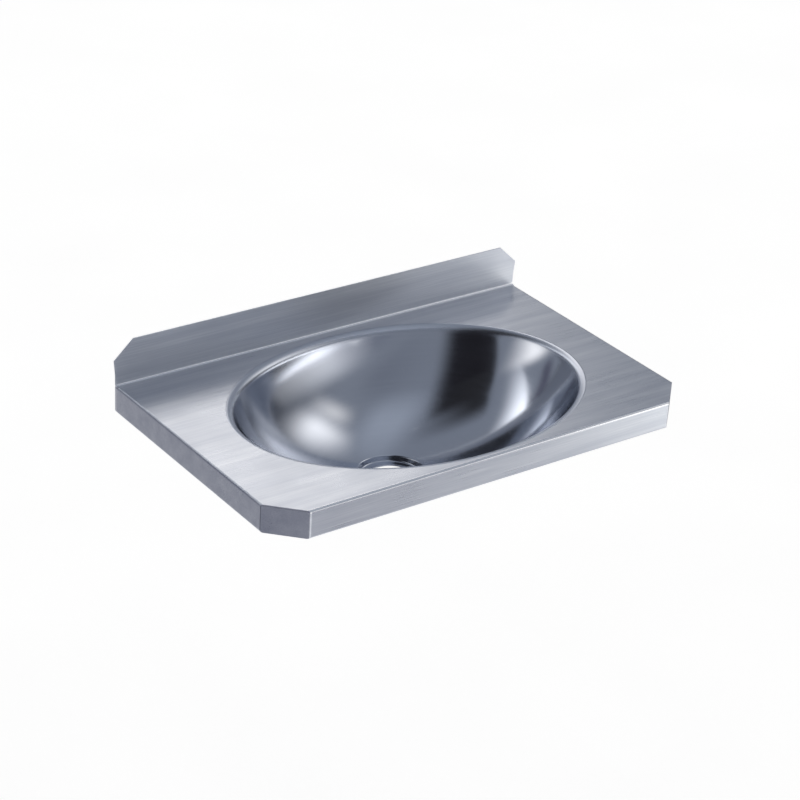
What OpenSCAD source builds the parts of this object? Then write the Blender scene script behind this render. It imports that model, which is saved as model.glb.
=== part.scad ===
// Wall-hung stainless steel wash basin. A folded deck with an upstand carries a pressed oval bowl
// with a round waste recess, and two folded wall brackets are bolted up under the deck.
// The origin is the middle of the four wall holes, in the wall plane.
// X runs along the wall, the room is on the -Y side, and Z points up. All sizes are in millimetres.

/* [Deck] */
// Width of the deck across the side aprons
deck_w = 500; // [440:5:580]
// Depth of the deck from the wall to the face of the front apron
deck_d = 305; // [280:1:350]
// Thickness of the deck sheet
deck_t = 1.2; // [0.9:0.1:1.6]
// Height of the aprons, from the top of the deck
apron_h = 30; // [24:1:40]
// Width of the lip folded in under the aprons
lip_w = 12; // [8:1:14]
// Outside radius of the folds of the deck sheet
fold_r = 2.4; // [2:0.1:3]
// Length cut from the front edge by each corner flap
corner_x = 33.5; // [26:0.5:42]
// Length cut from the side edge by each corner flap
corner_y = 34; // [26:0.5:42]
// Outside radius of the upright fold between the front apron and each corner flap
corner_fold_r = 3; // [2:0.1:4]
// Width of the open seam at the side end of each corner flap
seam_w = 0.6; // [0.3:0.1:0.8]

/* [Upstand] */
// Height of the upstand above the deck
upstand_h = 48; // [38:1:60]
// Length cut from the top edge at each corner of the upstand
upstand_cut_x = 22; // [16:0.5:28]
// Height cut from the end at each corner of the upstand
upstand_cut_z = 20.5; // [15:0.5:26]
// Reach of each end of the upstand past the side apron
upstand_reach = 1.5; // [1:0.1:2.5]
// Height of the narrower foot at each end of the upstand
upstand_foot_h = 11; // [7:1:14]

/* [Bowl] */
// Thickness of the bowl sheet
bowl_t = 1; // [0.8:0.1:1.2]
// Strip of deck left between the bowl opening and the side apron
bowl_side = 52.5; // [46:0.5:64]
// Strip of deck left between the bowl opening and the wall
bowl_rear = 11.2; // [9:0.2:20]
// Strip of deck left between the bowl opening and the face of the front apron
bowl_front = 4.6; // [4:0.2:12]
// Depth from the deck to the rim of the waste recess
bowl_depth = 104; // [85:1:125]
// Radius of the rounding from the deck into the bowl
rim_r = 9.5; // [8:0.5:12]
// Lean of the bowl wall from upright, just under the rounding, in degrees
rim_lean = 25; // [18:1:32]
// Fall of the bowl floor where it meets the recess, in degrees
floor_fall = 15; // [8:1:20]

/* [Waste recess] */
// Distance of the waste hole's centre from the wall
waste_rear = 134.8; // [125:1:150]
// Diameter of the waste hole
waste_d = 52; // [44:1:54]
// Diameter of the recess at its rim
recess_d = 76; // [72:1:90]
// Depth of the recess
recess_depth = 6; // [5:0.5:8]
// Radius of the roundings at the rim and the foot of the recess
recess_round = 2; // [1.6:0.1:2.2]
// Slope of the recess wall from level, in degrees
recess_slope = 70; // [60:1:80]

/* [Wall brackets] */
// Thickness of the bracket sheet
bracket_t = 2.5; // [2:0.1:3]
// Outside radius of the bracket folds
bracket_fold_r = 4; // [3.4:0.1:5]
// Gap between the bowl opening and the web of each bracket
bracket_gap = 8.5; // [6:0.5:11]
// Gap between the edge of each bracket flange and the deck's lip
lip_gap = 2; // [1:0.5:3]
// Distance from the face of the front apron to the front end of each bracket
bracket_front = 44; // [38:1:54]
// Height of the web at its front end
nose_h = 18; // [15:1:24]
// Length of the level lower edge of the web, from the wall
heel_l = 34; // [26:1:42]
// Width of the back plate, measured outside the fold
plate_w = 98; // [84:1:110]
// Cut across the free corners of the back plate and the flange
plate_cut = 9; // [7:0.5:11]

/* [Wall holes] */
// Depth of the upper row of wall slots under the top of the deck
slot_drop = 20; // [18:1:24]
// Upright pitch of the two rows of wall slots
slot_rise = 30; // [25:1:36]
// Distance of each wall slot's centre from the inner face of the web
slot_in = 56; // [46:1:66]
// Height of the back plate below the centres of the lower slots
slot_edge = 14; // [12:1:17]
// Width of the wall slots
slot_w = 9; // [7:0.5:10]
// Length of the wall slots, end to end
slot_l = 16; // [13:0.5:19]

/* [Studs] */
// Diameter of the weld studs
stud_d = 6; // [5:0.5:7]
// Distance of the rear studs from the wall
stud_rear = 62; // [52:1:74]
// Distance of the front studs from the front end of the bracket
stud_front = 34; // [28:1:42]
// Length of stud that shows below its nut
stud_tip = 3; // [2:0.5:4]
// Clearance round each stud in the bracket flange, on the diameter
stud_play = 1; // [0.6:0.1:1.4]
// Outside diameter of the stud washers
stud_washer_d = 12; // [11:0.5:14]
// Thickness of the stud washers
stud_washer_t = 1.6; // [1.2:0.1:2]
// Width across flats of the stud nuts
stud_nut_af = 10; // [9.5:0.1:11]
// Height of the stud nuts
stud_nut_h = 5; // [4:0.5:6]

/* [Corner tabs] */
// Thickness of the corner tabs
tab_t = 1; // [0.8:0.1:1.2]
// Length of each leg of the corner tabs
tab_l = 11; // [9:0.5:13]

/* [Sound pads] */
// Thickness of the sound pads
pad_t = 2.5; // [2:0.1:3.5]

/* [Earth tag] */
// Distance of the tag from the inner face of the left bracket's web
tag_in = 14; // [12:1:20]
// Distance of the tag's hanging leg from the wall
tag_rear = 40; // [34:1:48]
// Width of the tag
tag_w = 14; // [13:0.5:16]
// Thickness of the tag
tag_t = 1.5; // [1.2:0.1:2]
// Outside radius of the tag's fold
tag_fold_r = 2.5; // [2.2:0.1:3]
// Length of the tag's foot under the deck
tag_foot = 14; // [12:1:18]
// Drop of the tag's hole below the deck sheet
tag_drop = 12; // [11:0.5:14]
// Diameter of the earth screw
screw_d = 5; // [4:0.5:5]
// Diameter of the earth screw's head
screw_head_d = 9; // [8:0.5:10]
// Height of the earth screw's head
screw_head_h = 3.4; // [3:0.1:4]
// Depth of the driving slot in the screw's head
screw_slot_depth = 1.4; // [1:0.1:1.8]
// Width of the driving slot in the screw's head
screw_slot_w = 1.2; // [1:0.1:1.5]
// Length of screw that shows past its nut
screw_tip = 2.5; // [1.5:0.5:4]
// Diameter of the earth washers
earth_washer_d = 10; // [9:0.5:11]
// Thickness of the earth washers
earth_washer_t = 1; // [0.8:0.1:1.4]
// Width across flats of the earth nut
earth_nut_af = 8; // [7.5:0.1:9]
// Height of the earth nut
earth_nut_h = 4; // [3.5:0.1:5]
// Clearance round the earth screw in its tag, on the diameter
screw_play = 0.5; // [0.3:0.1:0.8]

/* [Hidden] */

// Colours of the finishes
SATIN = "#aab0bb";
MIRROR = "#8f97a5";
BRACKET = "#9a9ea3";
PAD = "#3b3c3e";
ZINC = "#b4b2a8";

// Overrun of every cut past the face that it goes through
cut = 1;
// Steps in each fold, in the oval and along the bowl's section
fold_steps = 6;
oval_steps = 96;
rim_steps = 5;
wall_steps = 12;
recess_rim_steps = 2;
recess_foot_steps = 3;
$fn = 64;

// Steps along the bowl's section where each sound pad starts and ends, and half the steps round the oval
pad_first_step = 10;
pad_last_step = 14;
pad_half_steps = 7;

// Height of the deck's top above the middle of the wall holes
deck_z = slot_drop + slot_rise / 2;
half_w = deck_w / 2;
corner_l = norm([corner_x, corner_y]);

// The bowl's opening in the deck
bowl_a = half_w - bowl_side;
bowl_b = (deck_d - bowl_rear - bowl_front) / 2;
bowl_y = -bowl_rear - bowl_b;
waste_y = -waste_rear;
recess_r = recess_d / 2;
seat_z = -bowl_depth - recess_depth;

// The top of the bowl's wall, where the rim's rounding ends
wall_a = bowl_a - rim_r * cos(rim_lean);
wall_b = bowl_b - rim_r * cos(rim_lean);
wall_z = -rim_r * (1 - sin(rim_lean));

// The straight part of the recess wall
recess_drop = recess_depth
    - recess_round * (cos(floor_fall) - cos(recess_slope))
    - recess_round * (1 - cos(recess_slope));
recess_run = recess_drop / tan(recess_slope);
recess_neck_r = recess_r - recess_round * (sin(recess_slope) - sin(floor_fall));
recess_neck_z = -bowl_depth - recess_round * (cos(floor_fall) - cos(recess_slope));

// The brackets, the right one's sizes
web_x = bowl_a + bracket_gap;
flange_w = half_w - lip_w - lip_gap - web_x;
bracket_l = deck_d - bracket_front;
bracket_top = -deck_t;
bracket_foot = -slot_drop - slot_rise - slot_edge;
slot_x = web_x - slot_in;
stud_x = web_x + (bracket_t + flange_w) / 2;
stud_ys = [-stud_rear, -bracket_l + stud_front];
stud_l = bracket_t + stud_washer_t + stud_nut_h + stud_tip;

// The earth tag's place
tag_x = -web_x + tag_in + tag_w / 2;
tag_y = -tag_rear;
tag_z = -deck_t - tag_drop;

// Points along an arc about a centre
function arc(centre, r, from, to, steps) = [
    for (k = [0 : steps])
        let (q = from + (to - from) * k / steps)
            centre + r * [cos(q), sin(q)]
];

function mirrored(points) = [for (k = [len(points) - 1 : -1 : 0]) [-points[k][0], points[k][1]]];

// Section of a folded angle with its outside corner at the origin and its legs along +X and +Y
function angle_section(leg_x, leg_y, t, r) = concat(
    [[leg_x, 0], [leg_x, t]],
    arc([r, r], r - t, 270, 180, fold_steps),
    [[t, leg_y], [0, leg_y]],
    arc([r, r], r, 180, 270, fold_steps)
);

// The two ends of the left corner flap on an outline drawn inside the deck's own by inset
function flap_side_end(inset) =
    [-half_w + inset, -deck_d + corner_y + inset * (corner_l - corner_y) / corner_x];
function flap_front_end(inset) =
    [-half_w + corner_x + inset * (corner_l - corner_x) / corner_y, -deck_d + inset];
function flap_fold(inset) = inset < corner_fold_r
    ? arc(
        flap_front_end(corner_fold_r), corner_fold_r - inset,
        180 + atan2(corner_x, corner_y), 270, fold_steps
    )
    : [flap_front_end(inset)];
function deck_half_outline(inset, rear) =
    concat([[-half_w + inset, rear], flap_side_end(inset)], flap_fold(inset));
function deck_outline(inset, rear) =
    concat(deck_half_outline(inset, rear), mirrored(deck_half_outline(inset, rear)));

// Section of the folded deck across the front apron, from its face back to the wall
function depth_section(inset, rear) = concat(
    [[rear, -inset]],
    arc([-deck_d + fold_r, -fold_r], fold_r - inset, 90, 180, fold_steps),
    arc([-deck_d + fold_r, -apron_h + fold_r], fold_r - inset, 180, 270, fold_steps),
    [[rear, -apron_h + inset]]
);

// Section of the folded deck across both side aprons
function half_width_section(inset) = concat(
    arc([-half_w + fold_r, -fold_r], fold_r - inset, 90, 180, fold_steps),
    arc([-half_w + fold_r, -apron_h + fold_r], fold_r - inset, 180, 270, fold_steps)
);
function width_section(inset) = concat(half_width_section(inset), mirrored(half_width_section(inset)));

// The upstand seen from the room: a narrower foot, then ends that reach past the deck, and cut corners
upstand_half_outline = [
    [-half_w, -deck_t - cut],
    [-half_w, upstand_foot_h],
    [-half_w - upstand_reach, upstand_h - upstand_cut_z],
    [-half_w - upstand_reach + upstand_cut_x, upstand_h]
];

// One level of the bowl's section: the oval's half length and half width, its centre, height and slope
function rim_level(k) =
    let (s = (90 - rim_lean) * k / rim_steps)
        [bowl_a - rim_r * sin(s), bowl_b - rim_r * sin(s), bowl_y, -rim_r * (1 - cos(s)), s];
function wall_level(k) =
    let (
        top = rim_lean,
        foot = 90 - floor_fall,
        q = top + (foot - top) * k / wall_steps,
        out = (cos(q) - cos(foot)) / (cos(top) - cos(foot)),
        down = (sin(q) - sin(top)) / (sin(foot) - sin(top))
    ) [
        recess_r + (wall_a - recess_r) * out,
        recess_r + (wall_b - recess_r) * out,
        waste_y + (bowl_y - waste_y) * out,
        wall_z + (-bowl_depth - wall_z) * down,
        90 - q
    ];
function recess_level(r, z, s) = [r, r, waste_y, z, s];
function recess_rim_level(k) =
    let (s = floor_fall + (recess_slope - floor_fall) * k / recess_rim_steps)
        recess_level(
            recess_r - recess_round * (sin(s) - sin(floor_fall)),
            -bowl_depth - recess_round * (cos(floor_fall) - cos(s)),
            s
        );
function recess_foot_level(k) =
    let (s = recess_slope * (1 - k / recess_foot_steps))
        recess_level(
            recess_neck_r - recess_run - recess_round * (sin(recess_slope) - sin(s)),
            recess_neck_z - recess_drop - recess_round * (cos(s) - cos(recess_slope)),
            s
        );
levels = concat(
    [for (k = [0 : rim_steps]) rim_level(k)],
    [for (k = [1 : wall_steps]) wall_level(k)],
    [for (k = [1 : recess_rim_steps]) recess_rim_level(k)],
    [for (k = [0 : recess_foot_steps]) recess_foot_level(k)]
);

// One point of the bowl's skin, at a depth into the sheet from the polished face
function skin_point(level, step, depth) =
    let (
        q = 360 * step / oval_steps,
        s = level[4]
    ) [
        (level[0] + depth * sin(s)) * cos(q),
        level[2] + (level[1] + depth * sin(s)) * sin(q),
        level[3] - depth * cos(s)
    ];

// Two triangles for each cell of a grid of points, facing the bowl's open side, or the other way
function cell(a, b, c, d) = [[a, c, d], [a, d, b]];
function flipped(triangles) = [for (t = triangles) [t[2], t[1], t[0]]];

// Modules that several sub-parts share
module at_deck() {
    translate([0, 0, deck_z]) children();
}

module slot(length, width, depth) {
    linear_extrude(depth) {
        square([length - width, width], center = true);
        for (side = [-1, 1])
            translate([side * (length - width) / 2, 0])
                circle(d = width);
    }
}

module ring(outer_d, bore_d, height) {
    difference() {
        cylinder(d = outer_d, h = height);
        translate([0, 0, -cut]) cylinder(d = bore_d, h = height + 2 * cut);
    }
}

module hex_nut(across_flats, bore_d, height) {
    difference() {
        cylinder(d = across_flats / cos(30), h = height, $fn = 6);
        translate([0, 0, -cut]) cylinder(d = bore_d, h = height + 2 * cut);
    }
}

// A square post on its edge, which cuts across the corner of a plate
module corner_cut(thickness) {
    rotate(45)
        cube([plate_cut * sqrt(2), plate_cut * sqrt(2), 2 * (thickness + cut)], center = true);
}

// A solid of the deck's outer form, drawn in by inset on every side but the wall's
module deck_form(inset, rear) {
    intersection() {
        translate([0, 0, -apron_h + inset])
            linear_extrude(apron_h - 2 * inset)
                polygon(deck_outline(inset, rear));
        rotate([90, 0, 90])
            linear_extrude(deck_w, center = true)
                polygon(depth_section(inset, rear));
        translate([0, rear, 0])
            rotate([90, 0, 0])
                linear_extrude(deck_d + rear)
                    polygon(width_section(inset));
    }
}

module oval_prism(top, bottom) {
    translate([0, 0, bottom])
        linear_extrude(top - bottom)
            polygon([for (k = [0 : oval_steps - 1])
                let (p = skin_point(levels[0], k, 0)) [p[0], p[1]]]);
}

// The open seam at the side end of the left corner flap, and the fine joint along the flap's top
module flap_seams() {
    translate(flap_side_end(0)) rotate(-atan2(corner_y, corner_x)) {
        translate([0, -cut, -apron_h - cut])
            cube([seam_w, cut + deck_t + seam_w, apron_h + cut - deck_t]);
        translate([0, -cut, -deck_t - seam_w / 2])
            cube([corner_l, cut + deck_t / 2, seam_w / 2]);
    }
}

// Sub-parts
module deck() {
    color(SATIN) at_deck() difference() {
        union() {
            difference() {
                deck_form(0, 0);
                deck_form(deck_t, cut);
                translate([0, 0, -apron_h - cut])
                    linear_extrude(apron_h)
                        polygon(deck_outline(deck_t + lip_w, cut));
                translate([-half_w - cut, -fold_r, -deck_t])
                    cube([deck_w + 2 * cut, fold_r + cut, deck_t + cut]);
            }
            intersection() {
                translate([0, 0, -deck_t])
                    rotate([90, 0, -90])
                        linear_extrude(deck_w + 2 * upstand_reach, center = true)
                            polygon(angle_section(2 * fold_r, upstand_h + deck_t, deck_t, fold_r));
                translate([0, cut, 0])
                    rotate([90, 0, 0])
                        linear_extrude(2 * fold_r + 2 * cut)
                            polygon(concat(upstand_half_outline, mirrored(upstand_half_outline)));
            }
        }
        oval_prism(cut, -deck_t - cut);
        flap_seams();
        mirror([1, 0, 0]) flap_seams();
    }
}

module bowl() {
    last = len(levels) - 1;
    n = oval_steps;
    skin = n * len(levels);
    inside = [for (i = [0 : last - 1], j = [0 : n - 1])
        each cell(i * n + j, i * n + (j + 1) % n, (i + 1) * n + j, (i + 1) * n + (j + 1) % n)];
    outside = [for (t = flipped(inside)) [t[0] + skin, t[1] + skin, t[2] + skin]];
    color(MIRROR) at_deck() difference() {
        polyhedron(
            points = [for (depth = [0, bowl_t], level = levels, j = [0 : n - 1])
                skin_point(level, j, depth)],
            faces = concat(
                inside,
                outside,
                [for (j = [0 : n - 1]) [j, (j + 1) % n, skin + (j + 1) % n, skin + j]],
                [[for (j = [n - 1 : -1 : 0]) last * n + j]],
                [[for (j = [0 : n - 1]) skin + last * n + j]]
            )
        );
        translate([0, waste_y, seat_z - bowl_t - cut]) cylinder(d = waste_d, h = bowl_t + 2 * cut);
    }
}

// The right-hand bracket: web, flange under the deck and back plate
module bracket() {
    at_deck() difference() {
        union() {
            translate([web_x, 0, bracket_top])
                rotate([90, 0, 0])
                    mirror([0, 1, 0])
                        translate([0, 0, bracket_fold_r])
                            linear_extrude(bracket_l - bracket_fold_r)
                                polygon(angle_section(
                                    flange_w, bracket_top - bracket_foot, bracket_t, bracket_fold_r
                                ));
            translate([web_x + bracket_t, 0, bracket_foot])
                linear_extrude(bracket_top - bracket_fold_r - bracket_foot)
                    rotate(180)
                        polygon(angle_section(plate_w, 2 * bracket_fold_r, bracket_t, bracket_fold_r));
        }
        // Lower edge of the web, rising to the nose
        translate([web_x - cut, 0, 0])
            rotate([90, 0, 90])
                linear_extrude(bracket_t + 2 * cut)
                    polygon([
                        [-heel_l, bracket_foot],
                        [-bracket_l - cut, bracket_top - nose_h],
                        [-bracket_l - cut, bracket_foot - cut],
                        [-heel_l, bracket_foot - cut]
                    ]);
        // Outer front corner of the flange
        translate([web_x + flange_w, -bracket_l, bracket_top])
            corner_cut(bracket_t);
        // Free corners of the back plate
        for (z = [bracket_top - bracket_fold_r, bracket_foot])
            translate([web_x + bracket_t - plate_w, 0, z])
                rotate([90, 0, 0])
                    corner_cut(bracket_t);
        for (row = [0, 1])
            translate([slot_x, cut, -slot_drop - row * slot_rise])
                rotate([90, 0, 0])
                    slot(slot_l, slot_w, bracket_t + 2 * cut);
        for (y = stud_ys)
            translate([stud_x, y, bracket_top - bracket_t - cut])
                cylinder(d = stud_d + stud_play, h = bracket_t + 2 * cut);
    }
}

module bracket_left() {
    color(BRACKET) mirror([1, 0, 0]) bracket();
}

module bracket_right() {
    color(BRACKET) bracket();
}

// Puts its child on each stud's axis, at a depth below the underside of the deck
module on_studs(depth) {
    at_deck()
        for (side = [-1, 1], y = stud_ys)
            translate([side * stud_x, y, bracket_top - depth]) children();
}

module deck_studs() {
    color(SATIN) on_studs(stud_l) cylinder(d = stud_d, h = stud_l);
}

module stud_washers() {
    color(ZINC) on_studs(bracket_t + stud_washer_t)
        ring(stud_washer_d, stud_d + stud_play / 2, stud_washer_t);
}

module stud_nuts() {
    color(ZINC) on_studs(bracket_t + stud_washer_t + stud_nut_h)
        hex_nut(stud_nut_af, stud_d, stud_nut_h);
}

// The left corner's backing strip, bent round the inside of the seam
module corner_tab() {
    along = [corner_x, -corner_y] / corner_l;
    near = flap_side_end(deck_t);
    far = flap_side_end(deck_t + tab_t);
    at_deck()
        translate([0, 0, -apron_h + fold_r])
            linear_extrude(apron_h - 2 * fold_r)
                polygon([
                    near,
                    near + tab_l * along,
                    near + tab_l * along + tab_t * [-along[1], along[0]],
                    far,
                    far + [0, tab_l],
                    near + [0, tab_l + far[1] - near[1]]
                ]);
}

module corner_tab_left() {
    color(SATIN) corner_tab();
}

module corner_tab_right() {
    color(SATIN) mirror([1, 0, 0]) corner_tab();
}

// A pad under the bowl, on the +X end
module sound_pad() {
    rows = pad_last_step - pad_first_step;
    columns = 2 * pad_half_steps;
    n = columns + 1;
    skin = n * (rows + 1);
    near = [for (i = [0 : rows - 1], j = [0 : columns - 1])
        each cell(i * n + j, i * n + j + 1, (i + 1) * n + j, (i + 1) * n + j + 1)];
    far = [for (t = flipped(near)) [t[0] + skin, t[1] + skin, t[2] + skin]];
    // The rim of the patch, in order round it
    edge = concat(
        [for (j = [0 : columns]) j],
        [for (i = [1 : rows]) i * n + columns],
        [for (j = [columns - 1 : -1 : 0]) rows * n + j],
        [for (i = [rows - 1 : -1 : 1]) i * n]
    );
    at_deck() polyhedron(
        points = [for (depth = [bowl_t, bowl_t + pad_t], i = [0 : rows], j = [0 : columns])
            skin_point(levels[pad_first_step + i], j - pad_half_steps, depth)],
        faces = concat(
            near,
            far,
            [for (k = [0 : len(edge) - 1])
                let (a = edge[k], b = edge[(k + 1) % len(edge)])
                    each [[a, b, skin + b], [a, skin + b, skin + a]]]
        )
    );
}

module sound_pad_left() {
    color(PAD) mirror([1, 0, 0]) sound_pad();
}

module sound_pad_right() {
    color(PAD) sound_pad();
}

module earth_tag() {
    color(SATIN) at_deck() translate([tag_x, tag_y, -deck_t]) difference() {
        rotate([90, 0, 90])
            mirror([0, 1, 0])
                linear_extrude(tag_w, center = true)
                    polygon(angle_section(tag_foot, tag_drop + tag_w / 2, tag_t, tag_fold_r));
        translate([0, -cut, -tag_drop])
            rotate([-90, 0, 0])
                cylinder(d = screw_d + screw_play, h = tag_t + 2 * cut);
    }
}

// Puts its child on the earth screw's axis, at a distance into the room from the tag's room side
module on_earth_screw(out) {
    at_deck() translate([tag_x, tag_y - out, tag_z]) rotate([-90, 0, 0]) children();
}

module earth_screw() {
    shank_l = 2 * earth_washer_t + tag_t + earth_nut_h + screw_tip;
    color(ZINC) on_earth_screw(earth_washer_t + screw_head_h) difference() {
        union() {
            cylinder(d = screw_head_d, h = screw_head_h);
            cylinder(d = screw_d, h = screw_head_h + shank_l);
        }
        translate([-screw_head_d, -screw_slot_w / 2, -cut])
            cube([2 * screw_head_d, screw_slot_w, screw_slot_depth + cut]);
    }
}

module earth_washers() {
    color(ZINC)
        for (out = [earth_washer_t, -tag_t])
            on_earth_screw(out)
                ring(earth_washer_d, screw_d + screw_play / 2, earth_washer_t);
}

module earth_nut() {
    color(ZINC) on_earth_screw(-tag_t - earth_washer_t)
        hex_nut(earth_nut_af, screw_d, earth_nut_h);
}

deck();
bowl();
bracket_left();
bracket_right();
deck_studs();
stud_washers();
stud_nuts();
corner_tab_left();
corner_tab_right();
sound_pad_left();
sound_pad_right();
earth_tag();
earth_screw();
earth_washers();
earth_nut();
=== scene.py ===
# %% [markdown]
# # A wall-hung wash basin in stainless steel
# The real basin is a sheet-metal product: one folded sheet makes the deck, its aprons and the
# upstand against the wall, and a pressed oval bowl is welded into it and ground flush. This lesson
# loads the measured model, lights it as a product photographer would, and gives every piece the
# finish of its real material. On the way it makes the faceted bowl smooth, cuts the threads,
# chamfers the nuts and rounds the pads.

# %% Load the measured model
import math
import bmesh
import bpy
import mathutils
import numpy as np
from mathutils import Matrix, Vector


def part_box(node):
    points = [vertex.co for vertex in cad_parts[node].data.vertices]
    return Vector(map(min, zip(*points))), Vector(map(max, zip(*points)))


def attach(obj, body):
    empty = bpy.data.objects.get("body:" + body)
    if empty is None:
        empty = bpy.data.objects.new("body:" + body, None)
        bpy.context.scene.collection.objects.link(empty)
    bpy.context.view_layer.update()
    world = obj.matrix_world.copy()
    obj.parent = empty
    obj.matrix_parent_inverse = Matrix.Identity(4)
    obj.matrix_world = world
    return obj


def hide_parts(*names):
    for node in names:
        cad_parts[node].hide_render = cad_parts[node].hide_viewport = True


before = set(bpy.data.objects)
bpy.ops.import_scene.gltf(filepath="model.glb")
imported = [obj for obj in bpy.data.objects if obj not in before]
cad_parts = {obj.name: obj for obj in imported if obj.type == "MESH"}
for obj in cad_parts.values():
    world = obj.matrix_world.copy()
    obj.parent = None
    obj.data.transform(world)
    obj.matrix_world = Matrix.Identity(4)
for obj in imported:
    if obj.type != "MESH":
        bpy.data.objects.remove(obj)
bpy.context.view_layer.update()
mm = 0.001


# %% [markdown]
# ## Camera
# A long lens from the left and above shows the deck, the front apron and the left apron at once.
# The camera is placed by its angles round the basin, because these say at once what it sees: how
# far left, how far up, and how much it is tilted. The three axes follow from the angles.

# %% Camera
camera_angles = [math.radians(angle) for angle in (-36.831, 27.625, 3.4447)]
camera_place = (-1.2899, -1.8632, 1.1446)
lens_mm, sensor_mm = 107.77, 36


def camera_axes(azimuth, elevation, roll):
    """Right, up and back of a camera that looks at the basin from these angles: the back axis is a
    point on the unit sphere, right is level, up is square to both, and roll turns right and up."""
    back = np.array([
        math.sin(azimuth) * math.cos(elevation),
        -math.cos(azimuth) * math.cos(elevation),
        math.sin(elevation),
    ])
    level = np.array([math.cos(azimuth), math.sin(azimuth), 0])
    over = np.cross(back, level)
    right = math.cos(roll) * level + math.sin(roll) * over
    return right, np.cross(back, right), back


view_data = bpy.data.cameras.new("view")
view_data.lens = lens_mm
view_data.sensor_width = sensor_mm
view_camera = bpy.data.objects.new("view", view_data)
bpy.context.scene.collection.objects.link(view_camera)
turn = np.eye(4)
turn[:3, :3] = np.stack(camera_axes(*camera_angles), axis=1)
turn[:3, 3] = camera_place
view_camera.matrix_world = mathutils.Matrix(turn.tolist())
bpy.context.scene.camera = view_camera
print("camera at", camera_place, "with a lens of", lens_mm, "mm")

# %% [markdown]
# ## Colours and nodes
# Colours are read off a colour picker as sRGB hex values. Blender's shaders work in linear light,
# so one function turns them round. A second small function adds a node, sets its values and links
# its inputs, which keeps every material below short enough to read as a recipe.

# %% Colours and nodes


def linear(code):
    """sRGB hex to linear light, by the sRGB curve, with an alpha of 1."""
    share = np.array([int(code[k:k + 2], 16) / 255 for k in (1, 3, 5)])
    light = np.where(share <= 0.04045, share / 12.92, ((share + 0.055) / 1.055) ** 2.4)
    return (*light.tolist(), 1.0)


def add(tree, kind, inputs=None, **settings):
    """Adds a node. An input given as a socket is linked, and any other value is set."""
    made = tree.nodes.new(kind)
    for name, value in settings.items():
        setattr(made, name, value)
    for name, value in (inputs or {}).items():
        if isinstance(value, bpy.types.NodeSocket):
            tree.links.new(value, made.inputs[name])
        else:
            made.inputs[name].default_value = value
    return made


def blank(name):
    """A new material with an empty tree and its output."""
    material = bpy.data.materials.new(name)
    material.use_nodes = True
    tree = material.node_tree
    tree.nodes.clear()
    return material, tree, add(tree, "ShaderNodeOutputMaterial")


# %% [markdown]
# ## Surfaces from formulas
# Every new shape here is a grid: a formula gives a point for each row and column, and four
# neighbours make a face. A ring closes on itself along its columns, and a whole skin along its
# rows too. One pair of functions serves the bowl, the threads, the nuts and the studio.

# %% Grids


def grid_faces(rows, columns, closed_u, closed_v):
    """Faces of a grid of points, four indices each. Each cell of four neighbours is a face, a
    closed direction joins its last line to its first, and a face looks along columns cross rows."""
    index = np.arange(rows * columns).reshape(rows, columns)
    below = np.roll(index, -1, axis=0)[:rows if closed_u else rows - 1]
    here = index[:len(below)]
    last = columns if closed_v else columns - 1
    return np.stack([
        here[:, :last],
        np.roll(here, -1, axis=1)[:, :last],
        np.roll(below, -1, axis=1)[:, :last],
        below[:, :last],
    ], axis=-1).reshape(-1, 4)


def grid_mesh(name, *grids, closed_u=False, closed_v=False):
    """One mesh from one or more arrays of points, each rows by columns."""
    faces, first = [], 0
    for points in grids:
        faces.append(first + grid_faces(*points.shape[:2], closed_u, closed_v))
        first += points.shape[0] * points.shape[1]
    mesh = bpy.data.meshes.new(name)
    every_point = np.concatenate([points.reshape(-1, 3) for points in grids])
    mesh.from_pydata(every_point.tolist(), [], np.concatenate(faces).tolist())
    mesh.update()
    piece = bpy.data.objects.new(name, mesh)
    bpy.context.scene.collection.objects.link(piece)
    return piece


# %% [markdown]
# ## The room
# Bare steel has hardly any colour of its own: it shows the room. So the room comes first. The
# floor and the world are white, as in a catalogue picture, and the metal sees that white too.
# Above it stands a dim blue-grey studio, with soft boxes for the bright bands and dark flags for
# the black ones. The panels are seen by reflections and not by the camera, as a flag is kept just
# outside a photographer's frame, so that every view of the basin stays clear.

# %% The white world
world_light, world_seen = 0.75, 1.0


def seen_share(tree):
    """1 for a ray that shows what it meets, straight, in a mirror or through glass, and 0 for one
    that only carries light to a surface."""
    paths = add(tree, "ShaderNodeLightPath")
    share = paths.outputs["Is Camera Ray"]
    for kind in ("Is Glossy Ray", "Is Transmission Ray"):
        share = add(tree, "ShaderNodeMath", {0: share, 1: paths.outputs[kind]},
                    operation="MAXIMUM").outputs[0]
    return share


world = bpy.data.worlds.new("white_studio")
bpy.context.scene.world = world
world.use_nodes = True
tree = world.node_tree
tree.nodes.clear()
level = add(tree, "ShaderNodeMapRange", {
    "Value": seen_share(tree), "To Min": world_light, "To Max": world_seen})
light = add(tree, "ShaderNodeBackground", {
    "Color": linear("#ffffff"), "Strength": level.outputs["Result"]})
add(tree, "ShaderNodeOutputWorld", {"Surface": light.outputs[0]})
print("world: light of", world_light, "and seen at", world_seen)

# %% [markdown]
# ### Floor
# A pale sheet of studio paper, well below the basin because the basin hangs on a wall. It is a
# real diffuse surface that takes the basin's soft shadow, with a little light of its own for the
# camera and for reflections, so that it joins the white world with no line. From below it lets
# the camera through, which shows the underside of the basin in a low view. Paper is never quite
# even: its faint clouds are drawn 300 mm across, since its real fibres would not show from here.

# %% Floor
floor_drop, floor_reach, floor_points = 0.85, 6.0, 9
floor_glow, paper_cloud = 0.32, 300 * mm

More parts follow.
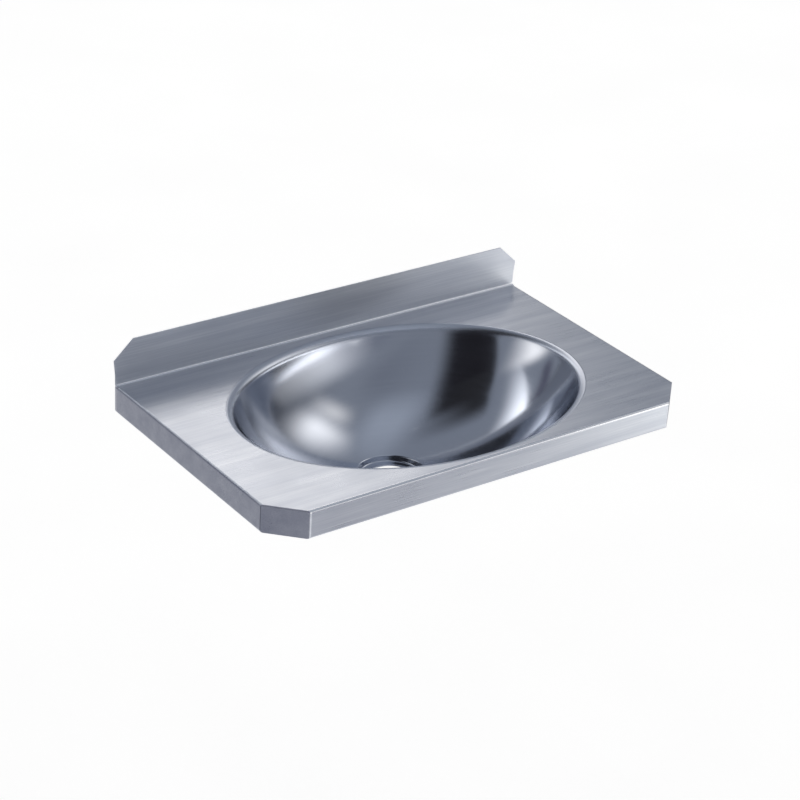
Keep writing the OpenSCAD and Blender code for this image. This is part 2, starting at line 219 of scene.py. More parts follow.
paper, tree, out = blank("studio_paper")
place = add(tree, "ShaderNodeTexCoord")
clouds = add(tree, "ShaderNodeTexNoise", {
    "Vector": place.outputs["Object"], "Scale": 1 / paper_cloud, "Detail": 4.0})
shade = add(tree, "ShaderNodeMix", {
    0: clouds.outputs[0], 6: linear("#f1f1f1"), 7: linear("#f6f6f6")}, data_type="RGBA")
matt = add(tree, "ShaderNodeBsdfDiffuse", {"Color": shade.outputs[2]})
glow = add(tree, "ShaderNodeMath", {0: seen_share(tree), 1: floor_glow}, operation="MULTIPLY")
lit = add(tree, "ShaderNodeEmission", {"Strength": glow.outputs[0]})
both = add(tree, "ShaderNodeAddShader", {0: matt.outputs[0], 1: lit.outputs[0]})
side = add(tree, "ShaderNodeNewGeometry")
clear = add(tree, "ShaderNodeBsdfTransparent")
sheet = add(tree, "ShaderNodeMixShader", {
    0: side.outputs["Backfacing"], 1: both.outputs[0], 2: clear.outputs[0]})
tree.links.new(sheet.outputs[0], out.inputs["Surface"])

spread = np.linspace(-floor_reach, floor_reach, floor_points)
across, along = np.meshgrid(spread, spread)
floor = grid_mesh("floor", np.stack([across, along, np.full_like(across, -floor_drop)], axis=-1))
floor.data.materials.append(paper)
print("floor", 2 * floor_reach, "m wide,", floor_drop, "m below the wall fixings")

# %% [markdown]
# ### Panels
# A panel is placed the way a photographer thinks of it: from which side, how high, how far and
# how large. Its edges fade out, as a soft box's do, so that its mirror image in the steel has no
# hard rim. A bright panel is a soft box, and a dark one is a flag that takes light away.

# %% Panels
basin_centre = np.array([0, -0.15, 0.035])


def reflected_only(piece):
    """Shows a piece of the studio to reflections alone."""
    piece.visible_camera = False
    piece.visible_diffuse = False
    piece.visible_shadow = False


def panel_finish(name, colour, strength, fade):
    """Light of one colour that fades to nothing over a share of the panel at each edge: left,
    lower, right and upper."""
    material, tree, out = blank(name)
    place = add(tree, "ShaderNodeTexCoord")
    axes = add(tree, "ShaderNodeSeparateXYZ", {0: place.outputs["UV"]})
    left, lower, right, upper = fade
    shown = None
    for axis, start, full in ((0, 0, left), (1, 0, lower), (0, 1, 1 - right), (1, 1, 1 - upper)):
        mask = add(tree, "ShaderNodeMapRange", {
            "Value": axes.outputs[axis], "From Min": start, "From Max": full,
        }, interpolation_type="SMOOTHSTEP").outputs[0]
        shown = mask if shown is None else add(
            tree, "ShaderNodeMath", {0: shown, 1: mask}, operation="MULTIPLY").outputs[0]
    clear = add(tree, "ShaderNodeBsdfTransparent")
    lit = add(tree, "ShaderNodeEmission", {"Color": linear(colour), "Strength": strength})
    faded = add(tree, "ShaderNodeMixShader", {0: shown, 1: clear.outputs[0], 2: lit.outputs[0]})
    tree.links.new(faded.outputs[0], out.inputs["Surface"])
    return material


def panel(name, azimuth, elevation, distance, width, height, tilt, colour, strength, fade):
    """A flat panel that faces the basin. Its azimuth is 0 behind the wall and 90 to the right, and
    its width and height are in degrees as the basin sees them."""
    turned, raised, lean = (math.radians(angle) for angle in (azimuth, elevation, tilt))
    away = np.array([
        math.sin(turned) * math.cos(raised),
        math.cos(turned) * math.cos(raised),
        math.sin(raised),
    ])
    level = np.array([math.cos(turned), -math.sin(turned), 0])
    over = np.cross(level, away)
    right = math.cos(lean) * level + math.sin(lean) * over
    up = math.cos(lean) * over - math.sin(lean) * level
    half_w = distance * math.tan(math.radians(width / 2))
    half_h = distance * math.tan(math.radians(height / 2))
    middle = basin_centre + distance * away
    ends = np.array([-1, 1])
    rows, columns = ends[:, None, None] * half_h * up, ends[None, :, None] * half_w * right
    made = grid_mesh(name, middle + rows + columns)
    layer = made.data.uv_layers.new(name="UVMap")
    points = np.array([vertex.co[:] for vertex in made.data.vertices]) - middle
    share = np.stack([points @ right / half_w, points @ up / half_h], axis=-1) / 2 + 0.5
    order = np.zeros(len(made.data.loops), np.int32)
    made.data.loops.foreach_get("vertex_index", order)
    layer.data.foreach_set("uv", share[order].ravel())
    made.data.materials.append(panel_finish(name, colour, strength, fade))
    reflected_only(made)


# %% [markdown]
# ### The studio's wall
# A half sphere of blue-grey paint stands round everything. It gives the steel its cool mid tone
# wherever no panel is mirrored, and turns a little darker towards the ceiling.

# %% Room dome
room_radius, rise_steps, round_steps = 9.0, 24, 64
pole_gap = 0.01

height, heading = np.meshgrid(
    np.linspace(0, math.pi / 2 - pole_gap, rise_steps),
    np.linspace(0, 2 * math.pi, round_steps, endpoint=False), indexing="ij")
dome = grid_mesh("room_dome", basin_centre + room_radius * np.stack([
    np.cos(height) * np.sin(heading),
    np.cos(height) * np.cos(heading),
    np.sin(height),
], axis=-1), closed_v=True)

paint, tree, out = blank("studio_wall_paint")
place = add(tree, "ShaderNodeTexCoord")
axes = add(tree, "ShaderNodeSeparateXYZ", {0: place.outputs["Object"]})
up_share = add(tree, "ShaderNodeMapRange", {
    "Value": axes.outputs[2], "From Min": 0.0, "From Max": room_radius})
shade = add(tree, "ShaderNodeMix", {
    0: up_share.outputs[0], 6: linear("#91969f"), 7: linear("#8a909b")}, data_type="RGBA")
lit = add(tree, "ShaderNodeEmission", {"Color": shade.outputs[2], "Strength": 1.0})
tree.links.new(lit.outputs[0], out.inputs["Surface"])
dome.data.materials.append(paint)
reflected_only(dome)
print("dome of", room_radius, "m with", len(dome.data.polygons), "faces")

# %% [markdown]
# ### The studio's panels
# Each row is one panel. To find a row, a reflection is followed back from the steel to where it
# leaves the basin: a bright band asks for a soft box there, and a black one for a flag. The level
# deck mirrors what stands behind it, as high as the camera stands in front, so the back soft box
# whitens its left. The upright aprons mirror what lies lower than the basin, so they have low
# panels of their own. The bowl's far wall faces the camera, so it mirrors the camera's side, and
# a flag stands there. That gives round numbers. The odd ones below come from a fit, which then
# moved the panels until the render's tones came near the photo's.

# %% Soft boxes and flags
# name, azimuth, elevation, distance in m, width, height, tilt, colour, strength,
# fade of the left, lower, right and upper edge. All angles are in degrees.
studio = (
    ("key_softbox", 95.4, 30.2, 2.20, 59.7, 41.8, 20.6, "#fffdfa", 1.65,
     (0.73, 0.41, 0.42, 0.61)),
    ("low_softbox", 134.9, -1.5, 5.60, 72.4, 44.1, 6.2, "#ffffff", 2.40,
     (0.19, 0.08, 0.52, 0.38)),
    ("back_softbox", 13.1, 28.1, 6.20, 51.7, 32.9, 24.5, "#fffcf9", 1.87,
     (0.90, 0.57, 0.08, 0.08)),
    ("side_strip_low", -74.4, 27.2, 6.00, 49.3, 31.9, -40.7, "#fffbf5", 2.40,
     (0.90, 0.12, 0.57, 0.37)),
    ("side_strip_high", -21.1, 41.3, 6.10, 99.5, 15.1, -21.4, "#ffffff", 3.00,
     (0.90, 0.08, 0.49, 0.90)),
    ("side_flag", -32.5, 26.2, 5.00, 34.2, 13.5, 7.5, "#cec4ff", 0.09,
     (0.32, 0.63, 0.08, 0.60)),
    ("camera_flag", -128.6, 45.6, 4.80, 39.3, 84.1, -24.4, "#f0ebff", 0.02,
     (0.31, 0.08, 0.08, 0.21)),
    ("ceiling_flag", -95.9, 72.5, 4.60, 69.1, 38.2, 37.4, "#f4f4ff", 0.03,
     (0.08, 0.08, 0.36, 0.83)),
    ("right_flag", 99.4, 15.6, 2.10, 140.0, 26.7, 4.3, "#9090ff", 0.01,
     (0.26, 0.08, 0.67, 0.90)),
    ("front_flag", 186.1, 29.5, 6.40, 42.4, 63.3, 54.4, "#e3ecff", 0.27,
     (0.32, 0.90, 0.76, 0.39)),
    ("top_glow", 107.2, 68.5, 6.60, 94.4, 55.5, 14.4, "#e8f1ff", 0.58,
     (0.90, 0.40, 0.40, 0.43)),
    ("left_low_flag", -80.5, -35.6, 1.10, 107.1, 85.1, 9.3, "#5a78ff", 0.08,
     (0.14, 0.80, 0.08, 0.28)),
    ("front_low_flag", 148.4, -23.7, 1.15, 92.5, 44.4, 67.3, "#5a78ff", 0.09,
     (0.71, 0.08, 0.50, 0.45)),
    ("right_low_card", 54.9, -22.2, 1.10, 55.8, 48.1, 25.8, "#9090ff", 0.01,
     (0.16, 0.20, 0.13, 0.14)),
    ("front_low_softbox", 151.1, -18.4, 1.30, 48.0, 29.3, 47.8, "#fffffa", 2.40,
     (0.22, 0.44, 0.08, 0.08)),
    ("upstand_card", 126.0, 31.0, 1.05, 22.0, 32.0, -23.1, "#fffdfa", 0.95,
     (0.50, 0.50, 0.50, 0.50)),
)
for row in studio:
    panel(*row)
print("panels:", [row[0] for row in studio])

# %% [markdown]
# ## Satin steel
# The deck is cut from sheet with a grain, a satin finish of fine parallel scratches along the
# sheet. Each scratch is far finer than a pixel, so the lines here are drawn about a millimetre
# wide to show. They tilt the surface a little across the grain, which stretches every reflection
# into a band, and the polish varies slowly over a few centimetres, as hand grinding leaves it.

# %% Satin steel
# Where the painted highlight on a bend begins and is at its full strength, in mm along Y and along
# Z.
front_bend = ((-301.8, -303.0), (31.8, 33.0))
upstand_crease = ((-3.6, -2.4), (37.6, 36.4))
# The upstand's face lies from here back, in mm along Y, and is ground coarser than the deck.
upstand_face = (-1.8, -1.3)
upstand_coarser, bend_smoother, polish_spread = 0.16, -0.16, 0.05
# Between which values two noises mostly stay when they are multiplied, and when they are added.
noise_product, noise_sum = (0.12, 0.42), (0.7, 1.3)


def bend_highlight_mask(tree, axes):
    """1 along the deck's front bend and the upstand's crease, where the satin is smoother and a
    highlight is painted into its colour, and 0 elsewhere. Each line is where two ramps meet."""
    lines = []
    for along_y, along_z in (front_bend, upstand_crease):
        across = add(tree, "ShaderNodeMapRange", {
            "Value": axes.outputs[1], "From Min": along_y[0] * mm, "From Max": along_y[1] * mm})
        upward = add(tree, "ShaderNodeMapRange", {
            "Value": axes.outputs[2], "From Min": along_z[0] * mm, "From Max": along_z[1] * mm})
        lines.append(add(tree, "ShaderNodeMath", {
            0: across.outputs[0], 1: upward.outputs[0]}, operation="MULTIPLY").outputs[0])
    return add(tree, "ShaderNodeMath", {0: lines[0], 1: lines[1]}, operation="MAXIMUM").outputs[0]


def satin_steel(name, light_code, dark_code, grain_axis, roughness=0.31, relief_share=1.0,
                deck_sheet=False):
    """Stainless steel brushed along one axis: lines 0.9 mm wide and 70 mm long in colour, polish
    and height, over broad streaks of 9 by 160 mm and clouds of 60 mm. The deck's sheet is coarser
    on the upstand's face and smoother along its bends, which carry a painted highlight."""
    material, tree, out = blank(name)
    place = add(tree, "ShaderNodeTexCoord")
    patterns = []
    for width_mm, length_mm, detail, contrast in (
        (0.9, 70.0, 3.0, 0.6),
        (9.0, 160.0, 2.0, 0.5),
        (60.0, 60.0, 2.0, 0.5),
    ):
        scale = [1 / (width_mm * mm)] * 3
        scale[grain_axis] = 1 / (length_mm * mm)
        drawn = add(tree, "ShaderNodeMapping", {"Vector": place.outputs["Object"], "Scale": scale})
        patterns.append(add(tree, "ShaderNodeTexNoise", {
            "Vector": drawn.outputs[0], "Scale": 1.0, "Detail": detail, "Roughness": contrast,
        }).outputs[0])
    grain, streak, cloud = patterns
    tone = add(tree, "ShaderNodeMath", {0: grain, 1: streak}, operation="MULTIPLY")
    mixed = add(tree, "ShaderNodeMapRange", {
        "Value": tone.outputs[0], "From Min": noise_product[0], "From Max": noise_product[1]})
    colour = add(tree, "ShaderNodeMix", {
        0: mixed.outputs[0], 6: linear(dark_code), 7: linear(light_code)}, data_type="RGBA")
    polish = add(tree, "ShaderNodeMath", {0: grain, 1: cloud}, operation="ADD")
    rough = add(tree, "ShaderNodeMapRange", {
        "Value": polish.outputs[0], "From Min": noise_sum[0], "From Max": noise_sum[1],
        "To Min": roughness - polish_spread, "To Max": roughness + polish_spread})
    if deck_sheet:
        axes = add(tree, "ShaderNodeSeparateXYZ", {0: place.outputs["Object"]})
        coarser = add(tree, "ShaderNodeMapRange", {
            "Value": axes.outputs[1],
            "From Min": upstand_face[0] * mm, "From Max": upstand_face[1] * mm,
            "To Min": 0.0, "To Max": upstand_coarser})
        rough = add(tree, "ShaderNodeMath", {0: rough.outputs[0], 1: coarser.outputs[0]},
                    operation="ADD")
        bend = bend_highlight_mask(tree, axes)
        rough = add(tree, "ShaderNodeMath", {0: bend, 1: bend_smoother, 2: rough.outputs[0]},
                    operation="MULTIPLY_ADD")
        # Painted highlight: along the bends the colour turns almost white.
        colour = add(tree, "ShaderNodeMix", {
            0: bend, 6: colour.outputs[2], 7: linear("#f6f7fa")}, data_type="RGBA")
    relief = add(tree, "ShaderNodeBump", {
        "Height": grain, "Distance": 0.1 * mm, "Strength": relief_share})
    steel = add(tree, "ShaderNodeBsdfPrincipled", {
        "Base Color": colour.outputs[2], "Metallic": 1.0, "Roughness": rough.outputs[0],
        "Normal": relief.outputs[0]})
    tree.links.new(steel.outputs[0], out.inputs["Surface"])
    return material


# %% [markdown]
# ### Deck
# The measured deck already has its real folds, seams and lips, so it keeps its mesh and only gets
# its finish. The corner tabs and the earth tag are offcuts of the same sheet, with the same grain
# along the basin. Satin steel gives the eye long soft bands with no clear mirror image.

# %% Deck


def dress(node_names, material):
    """Gives CAD nodes a finish, in place of the plain one that they came with."""
    for node_name in node_names:
        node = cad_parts[node_name]
        node.data.materials.clear()
        node.data.materials.append(material)
        print(node_name, "wears", material.name)


deck_steel = satin_steel("stainless_steel_satin_brushed", "#d9dce2", "#c3c7d0", grain_axis=0,
                         relief_share=0.22, deck_sheet=True)
dress(["deck", "corner_tab_left", "corner_tab_right", "earth_tag"], deck_steel)

# %% [markdown]
# ## The bowl
# The bowl is pressed from one flat blank: the deck rolls over into a steep wall, which sweeps
# round into a shallow floor, and the floor falls to a round recess for the waste. It is one
# surface. Its section is a chain of arcs, and its plan changes from a large oval at the rim to
# a circle at the recess, so a level of the section is an oval with its own length, width,
# centre and height. A mirror finish shows every flat facet, so the levels are computed finely.

# %% Bowl's section
deck_top = 35 * mm
bowl_half_length, bowl_half_width, bowl_middle = 197.5 * mm, 144.6 * mm, -155.8 * mm
bowl_depth, bowl_sheet = 104 * mm, 1 * mm
rim_radius, rim_lean, floor_fall = 9.5 * mm, math.radians(25), math.radians(15)
recess_radius, recess_depth, recess_round = 38 * mm, 6 * mm, 2 * mm
recess_slope, waste_middle, waste_radius = math.radians(70), -134.8 * mm, 26 * mm
bowl_steps = 288


def bowl_levels(rim_steps=14, wall_steps=72, arc_steps=6, floor_steps=4):
    """Levels of the bowl from the rim to the recess floor, one per row: half length, half width,
    centre, height under the deck and slope. The rim is an arc. On the wall the sine of the
    section's angle gives the depth and its cosine the reach, so that the wall starts at the rim's
    lean and ends at the floor's fall. The recess is an arc, a cone and an arc round its own
    centre."""
    s = np.linspace(0, math.pi / 2 - rim_lean, rim_steps + 1)
    rim = np.stack([
        bowl_half_length - rim_radius * np.sin(s),
        bowl_half_width - rim_radius * np.sin(s),
        np.full_like(s, bowl_middle),
        -rim_radius * (1 - np.cos(s)),
        s,
    ], axis=1)
    top, foot = rim_lean, math.pi / 2 - floor_fall
    q = np.linspace(top, foot, wall_steps + 1)[1:]
    reach = (np.cos(q) - math.cos(foot)) / (math.cos(top) - math.cos(foot))
    drop = (np.sin(q) - math.sin(top)) / (math.sin(foot) - math.sin(top))
    start = rim[-1]
    wall = np.stack([
        recess_radius + (start[0] - recess_radius) * reach,
        recess_radius + (start[1] - recess_radius) * reach,
        waste_middle + (bowl_middle - waste_middle) * reach,
        start[3] + (-bowl_depth - start[3]) * drop,
        math.pi / 2 - q,
    ], axis=1)
    s = np.linspace(floor_fall, recess_slope, arc_steps + 1)[1:]
    edge_r = recess_radius - recess_round * (np.sin(s) - math.sin(floor_fall))
    edge_z = -bowl_depth - recess_round * (math.cos(floor_fall) - np.cos(s))
    cone = recess_depth + bowl_depth + edge_z[-1] - recess_round * (1 - math.cos(recess_slope))
    s2 = np.linspace(recess_slope, 0, arc_steps + 1)
    foot_r = (edge_r[-1] - cone / math.tan(recess_slope)
              - recess_round * (math.sin(recess_slope) - np.sin(s2)))
    foot_z = edge_z[-1] - cone - recess_round * (np.cos(s2) - math.cos(recess_slope))
    radius, height, slope = np.r_[edge_r, foot_r], np.r_[edge_z, foot_z], np.r_[s, s2]
    recess = np.stack([radius, radius, np.full_like(radius, waste_middle), height, slope], axis=1)
    hole = np.array([waste_radius, waste_radius, waste_middle, -bowl_depth - recess_depth, 0.0])
    floor_ring = np.linspace(recess[-1], hole, floor_steps + 1)[1:]
    return np.vstack([rim, wall, recess, floor_ring])


def bowl_skin(levels, into, angles):
    """Points of the bowl at a depth into its sheet: each level's oval, grown square to the
    section."""
    half_length, half_width, centre, height, slope = (column[:, None] for column in levels.T)
    grown = into * np.sin(slope)
    return np.stack([
        (half_length + grown) * np.cos(angles),
        centre + (half_width + grown) * np.sin(angles),
        np.broadcast_to(deck_top + height - into * np.cos(slope), (len(levels), len(angles))),
    ], axis=-1)


levels = bowl_levels()
angles = np.linspace(0, 2 * math.pi, bowl_steps, endpoint=False)
inside = bowl_skin(levels, 0.0, angles)
outside = bowl_skin(levels, bowl_sheet, angles)[::-1]
bowl_points = np.concatenate([inside, outside])
print("bowl:", len(levels), "levels by", bowl_steps, "steps, facets:", 2 * bowl_points[..., 0].size)

# %% [markdown]
# ### The bowl's mesh
# The inside and the outside of the sheet are the same formula at two depths. Joined at the rim
# and at the waste hole they make one closed skin, with no seam to find. Each point also carries
# where it is round the bowl and how far it lies from the rim, so that the polishing lines can run
# round the bowl.

# %% Bowl's mesh
polish_ring_radius = 0.15


def polish_attribute(piece, points):
    """Stores for each vertex where it is round the bowl, as a point on a ring, and how far down
    the section it lies, in metres. A noise read there runs round the bowl and closes on itself."""
    steps = np.linalg.norm(np.diff(points, axis=0), axis=-1).mean(axis=1)
    down = np.r_[0, np.cumsum(steps)][:, None] * np.ones(points.shape[1])
    ring = polish_ring_radius * np.stack([np.cos(angles), np.sin(angles)], axis=-1)
    value = np.concatenate([
        np.broadcast_to(ring, (*points.shape[:2], 2)), down[..., None]], axis=-1)
    layer = piece.data.attributes.new("polish", "FLOAT_VECTOR", "POINT")
    layer.data.foreach_set("vector", value.astype(np.float32).ravel())


bowl = grid_mesh("polished_bowl", bowl_points, closed_u=True, closed_v=True)
bowl.data.shade_smooth()
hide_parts("bowl")
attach(bowl, "root")
polish_attribute(bowl, bowl_points)
print("bowl's mesh:", len(bowl.data.polygons), "faces")

# %% [markdown]
# ## Polished steel
# The bowl is buffed almost to a mirror, which gives the eye bright and black shapes with soft
# edges. Buffing runs round the bowl and leaves lines that soften a reflection's edge. A real line
# is far finer than a pixel, so these are drawn 1.2 mm wide and 80 mm long. The buffing never comes
# out quite even, so it also varies over patches of 45 mm. The rim was ground flush with the deck:
# it starts dull there and clears to a mirror over the next centimetre.

# %% Polished steel
line_across, line_along, patch = 1.2 * mm, 80 * mm, 45 * mm
dull_from, dull_until, rim_duller = 4 * mm, 16 * mm, 0.18
haze_least, haze_most = 0.10, 0.15

mirror, tree, out = blank("stainless_steel_buffed")
ring_place = add(tree, "ShaderNodeAttribute", attribute_name="polish")
stretch = add(tree, "ShaderNodeMapping", {
    "Vector": ring_place.outputs["Vector"],
    "Scale": (1 / line_along, 1 / line_along, 1 / line_across)})
buff = add(tree, "ShaderNodeTexNoise", {
    "Vector": stretch.outputs[0], "Scale": 1.0, "Detail": 3.0, "Roughness": 0.55})
place = add(tree, "ShaderNodeTexCoord")
patchy = add(tree, "ShaderNodeTexNoise", {
    "Vector": place.outputs["Object"], "Scale": 1 / patch, "Detail": 2.0, "Roughness": 0.5})
tone = add(tree, "ShaderNodeMix", {
    0: buff.outputs[0], 6: linear("#c2c7d1"), 7: linear("#cbcfd9")}, data_type="RGBA")
uneven = add(tree, "ShaderNodeMath", {0: buff.outputs[0], 1: patchy.outputs[0]}, operation="ADD")
haze = add(tree, "ShaderNodeMapRange", {
    "Value": uneven.outputs[0], "From Min": noise_sum[0], "From Max": noise_sum[1],
    "To Min": haze_least, "To Max": haze_most})
down = add(tree, "ShaderNodeSeparateXYZ", {0: ring_place.outputs["Vector"]})
dull = add(tree, "ShaderNodeMapRange", {
    "Value": down.outputs[2], "From Min": dull_from, "From Max": dull_until,
    "To Min": rim_duller, "To Max": 0.0}, interpolation_type="SMOOTHSTEP")
rough = add(tree, "ShaderNodeMath", {0: haze.outputs[0], 1: dull.outputs[0]}, operation="ADD")
relief = add(tree, "ShaderNodeBump", {
    "Height": buff.outputs[0], "Distance": 0.01 * mm, "Strength": 0.3})
steel = add(tree, "ShaderNodeBsdfPrincipled", {
    "Base Color": tone.outputs[2], "Metallic": 1.0, "Roughness": rough.outputs[0],
    "Normal": relief.outputs[0]})
tree.links.new(steel.outputs[0], out.inputs["Surface"])
bowl.data.materials.append(mirror)
print(bowl.name, "wears", mirror.name)

# %% [markdown]
# ## Brackets and fixings
# What holds the basin up is hidden in use and is finished plainly: mill steel for the brackets,
# grey and a little dull, and bright turned steel for the fixings. The measured brackets, washers
# and earth screw already have their real shapes and only need their finish.

# %% Brackets, washers and screw
bracket_steel = satin_steel("stainless_steel_mill", "#b9bcc1", "#a4a8ae", grain_axis=1,
                            roughness=0.36)
dress(["bracket_left", "bracket_right"], bracket_steel)
fixing_steel = satin_steel("stainless_steel_turned", "#c9c8c4", "#b3b2ae", grain_axis=2,
                           roughness=0.3)
dress(["stud_washers", "earth_screw", "earth_washers"], fixing_steel)

# %% [markdown]
# ## Threads
# Four M6 studs are welded under the deck. A thread is a ridge wound round a rod, so the rod's
# radius is a wave that climbs one pitch in each turn: one formula makes every turn at once, and
# the rod stays a single grid.

# %% Studs
sharp_over, same_place = math.radians(35), 0.0001 * mm
stud_radius, stud_pitch, stud_depth = 3 * mm, 1 * mm, 0.6 * mm


def merge(piece):
    """Merges points that fall together, which closes poles, and keeps steep folds sharp."""
    shell = bmesh.new()
    shell.from_mesh(piece.data)
    bmesh.ops.remove_doubles(shell, verts=shell.verts, dist=same_place)
    shell.to_mesh(piece.data)
    shell.free()
    piece.data.shade_smooth()
    piece.data.set_sharp_from_angle(angle=sharp_over)


def finish_piece(piece, material, node):
    """Gives a new piece its finish and its body, and hides the node that it stands for."""
    merge(piece)
    piece.data.materials.append(material)
    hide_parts(node)
    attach(piece, "root")
    print(piece.name, "has", len(piece.data.polygons), "faces and wears", material.name)


def threaded_rod(length, radius, pitch, depth, per_turn=8, around=32):
    """A rod along +Z from the origin. Its radius is the outer radius less a share of the thread's
    depth, and the share is a triangle wave of height over pitch less angle over a turn. A cone of
    45 degrees cuts the last turn back at each end, and the end rows shrink to the axis."""
    height = np.linspace(0, length, int(per_turn * length / pitch) + 1)[:, None]
    turned = np.linspace(0, 2 * math.pi, around, endpoint=False)
    share = np.abs(2 * ((height / pitch - turned / (2 * math.pi)) % 1) - 1)
    from_end = np.minimum(height, length - height)
    grown = np.minimum(radius - depth * share, radius - depth + from_end)
    rod = np.stack([grown * np.cos(turned), grown * np.sin(turned), height + 0 * turned], axis=-1)
    return np.concatenate([rod[:1] * [0, 0, 1], rod, rod[-1:] * [0, 0, 1]])


stud_low, stud_high = (np.array(corner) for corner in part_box("deck_studs"))
stud = threaded_rod(stud_high[2] - stud_low[2], stud_radius, stud_pitch, stud_depth)
stud_places = [
    np.array([x, y, stud_low[2]])
    for x in (stud_low[0] + stud_radius, stud_high[0] - stud_radius)
    for y in (stud_low[1] + stud_radius, stud_high[1] - stud_radius)
]
studs = grid_mesh("threaded_studs", *[stud + place for place in stud_places], closed_v=True)
finish_piece(studs, fixing_steel, "deck_studs")

# %% [markdown]
# ## Nuts
# A nut is a slice of hexagon with both faces chamfered, which cuts its six corners back along a
# cone and gives each flat its curved ends. So its section goes round the axis like a ring's, and
# only the outer radius follows the hexagon.

# %% Nuts
face_share, nut_cone, nut_sink = 0.95, math.radians(30), 0.3 * mm


def hexagon_nut(across_flats, bore_radius, height, around=72):
    """A nut along +Z from the origin, as a closed section carried round the axis. The outer radius
    is half the flats over the cosine of the angle from the middle of a flat. Both faces end in a
    cone that starts a little inside the flats, and the bore has a small countersink."""
    turned = np.linspace(0, 2 * math.pi, around, endpoint=False)
    outer = across_flats / 2 / np.cos(turned % (math.pi / 3) - math.pi / 6)
    face = np.full(around, face_share * across_flats / 2)
    cone = (outer - face) * math.tan(nut_cone)
    bore, foot = np.full(around, bore_radius), np.zeros(around)
    section = [
        (bore, foot + nut_sink),
        (bore + nut_sink, foot),
        (face, foot),
        (outer, cone),
        (outer, height - cone),
        (face, foot + height),
        (bore + nut_sink, foot + height),
        (bore, foot + height - nut_sink),
    ]
    return np.stack([
        np.stack([r * np.cos(turned), r * np.sin(turned), z], axis=-1) for r, z in section])


nut_low, nut_high = (np.array(corner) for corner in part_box("stud_nuts"))
stud_nut = hexagon_nut(
    across_flats=10 * mm, bore_radius=stud_radius, height=nut_high[2] - nut_low[2])
stud_nuts = grid_mesh("hexagon_nuts", *[
    stud_nut + [place[0], place[1], nut_low[2]] for place in stud_places],
    closed_u=True, closed_v=True)
finish_piece(stud_nuts, fixing_steel, "stud_nuts")

# The earth nut is the same shape for M5, lying along +Y.
earth_low, earth_high = (np.array(corner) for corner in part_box("earth_nut"))
upright_nut = hexagon_nut(
    across_flats=8 * mm, bore_radius=2.5 * mm, height=earth_high[1] - earth_low[1])
lying_nut = np.stack([upright_nut[..., 0], upright_nut[..., 2], -upright_nut[..., 1]], axis=-1)
earth_place = [(earth_low[0] + earth_high[0]) / 2, earth_low[1], (earth_low[2] + earth_high[2]) / 2]
earth_nut = grid_mesh("earth_hexagon_nut", lying_nut + earth_place, closed_u=True, closed_v=True)
finish_piece(earth_nut, fixing_steel, "earth_nut")

# %% [markdown]
# ## Sound pads
# Water drumming on a thin bowl is loud, so a pad of bitumen felt is stuck under each end. The
# felt is matt and nearly black, with a grit of fibres that catches a little light. The fibres are
# drawn about 1.5 mm wide, coarser than real ones, to show.

# %% Pad finish
felt, tree, out = blank("bitumen_felt")
place = add(tree, "ShaderNodeTexCoord")
grit = add(tree, "ShaderNodeTexNoise", {
    "Vector": place.outputs["Object"], "Scale": 1 / (1.5 * mm), "Detail": 4.0, "Roughness": 0.7})
tone = add(tree, "ShaderNodeMix", {
    0: grit.outputs[0], 6: linear("#2b2c2e"), 7: linear("#46474a")}, data_type="RGBA")
relief = add(tree, "ShaderNodeBump", {
    "Height": grit.outputs[0], "Distance": 0.4 * mm, "Strength": 0.6})
matt = add(tree, "ShaderNodeBsdfPrincipled", {
    "Base Color": tone.outputs[2], "Roughness": 0.85, "Normal": relief.outputs[0]})
tree.links.new(matt.outputs[0], out.inputs["Surface"])
print("made", felt.name)

# %% [markdown]
# ### The pads' shape
# Felt is soft and takes the bowl's curve, so a pad is a patch of the bowl's own formula at two
# depths. Its thickness falls to nothing in a quarter round along all four edges, which closes the
# patch.

# %% Pads
pad_thick, pad_round = 2.5 * mm, 1.6 * mm
pad_rows, pad_columns = 30, 48


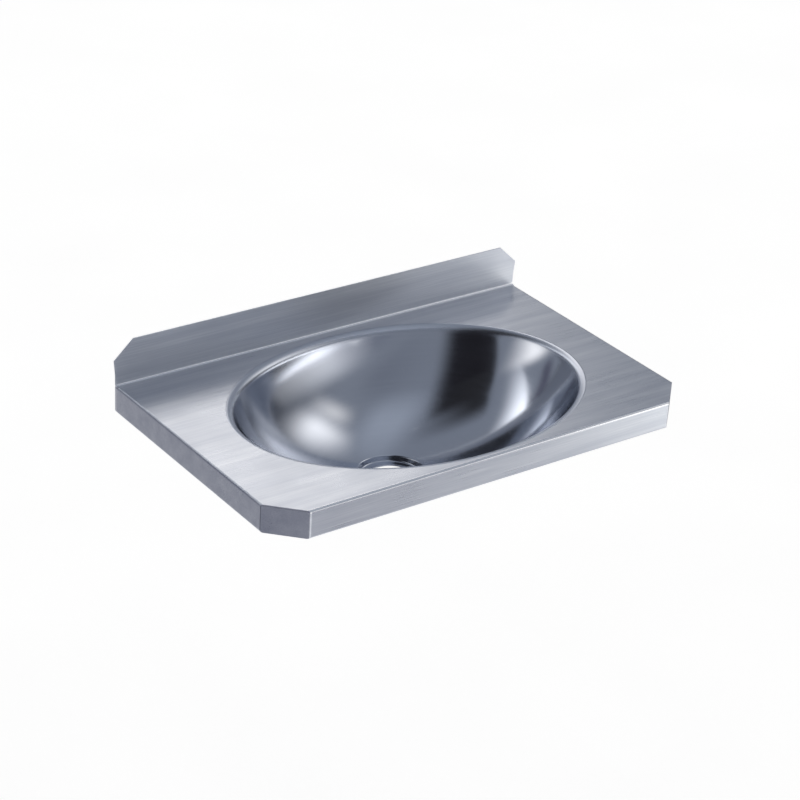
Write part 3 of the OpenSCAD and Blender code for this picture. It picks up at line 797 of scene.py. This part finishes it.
def run_length(points):
    """How far each point of a line lies from its first, along the line."""
    return np.r_[0, np.cumsum(np.linalg.norm(np.diff(points, axis=0), axis=1))]


def pad_skins(side):
    """One pad at the +X end for side 1 and at the -X end for side -1: the bowl's levels that lie
    in the measured pad's height, over the angles that lie in its depth. The grid's lines crowd to
    the edges by a cosine, so that the rounding gets enough of them."""
    low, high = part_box("sound_pad_right")
    top_of = deck_top + levels[:, 3] - bowl_sheet * np.cos(levels[:, 4])
    foot_of = top_of - pad_thick * np.cos(levels[:, 4])
    rows = np.flatnonzero(
        (top_of <= high[2]) & (foot_of >= low[2]) & (levels[:, 4] < recess_slope))
    crowd = (1 - np.cos(np.linspace(0, math.pi, pad_rows))) / 2
    wanted = rows[0] + crowd * (rows[-1] - rows[0])
    chosen = np.stack([
        np.interp(wanted, np.arange(len(levels)), column) for column in levels.T], axis=1)
    depth_share = (high[1] - chosen[:, 2]) / (chosen[:, 1] + bowl_sheet + pad_thick)
    half_angle = np.arcsin(np.clip(depth_share, 0, 1)).min()
    spread = -half_angle * np.cos(np.linspace(0, math.pi, pad_columns))
    if side < 0:
        spread = math.pi + spread
    inner = bowl_skin(chosen, bowl_sheet, spread)
    along, around = run_length(inner[:, pad_columns // 2]), run_length(inner[pad_rows // 2])
    edge = np.minimum(
        np.minimum(along, along[-1] - along)[:, None],
        np.minimum(around, around[-1] - around)[None, :],
    )
    share = np.sqrt(1 - (1 - np.clip(edge / pad_round, 0, 1)) ** 2)
    full = bowl_skin(chosen, bowl_sheet + pad_thick, spread)
    outer = inner + (full - inner) * share[..., None]
    return np.concatenate([inner, outer[::-1]])


for end, side in (("left", -1), ("right", 1)):
    pad = grid_mesh("felt_pad_" + end, pad_skins(side), closed_u=True)
    finish_piece(pad, felt, "sound_pad_" + end)

# %% [markdown]
# ## Finish
# The picture is shown as Standard, so that a colour looks as it was written.

# %% Finish
bpy.context.scene.view_settings.view_transform = "Standard"
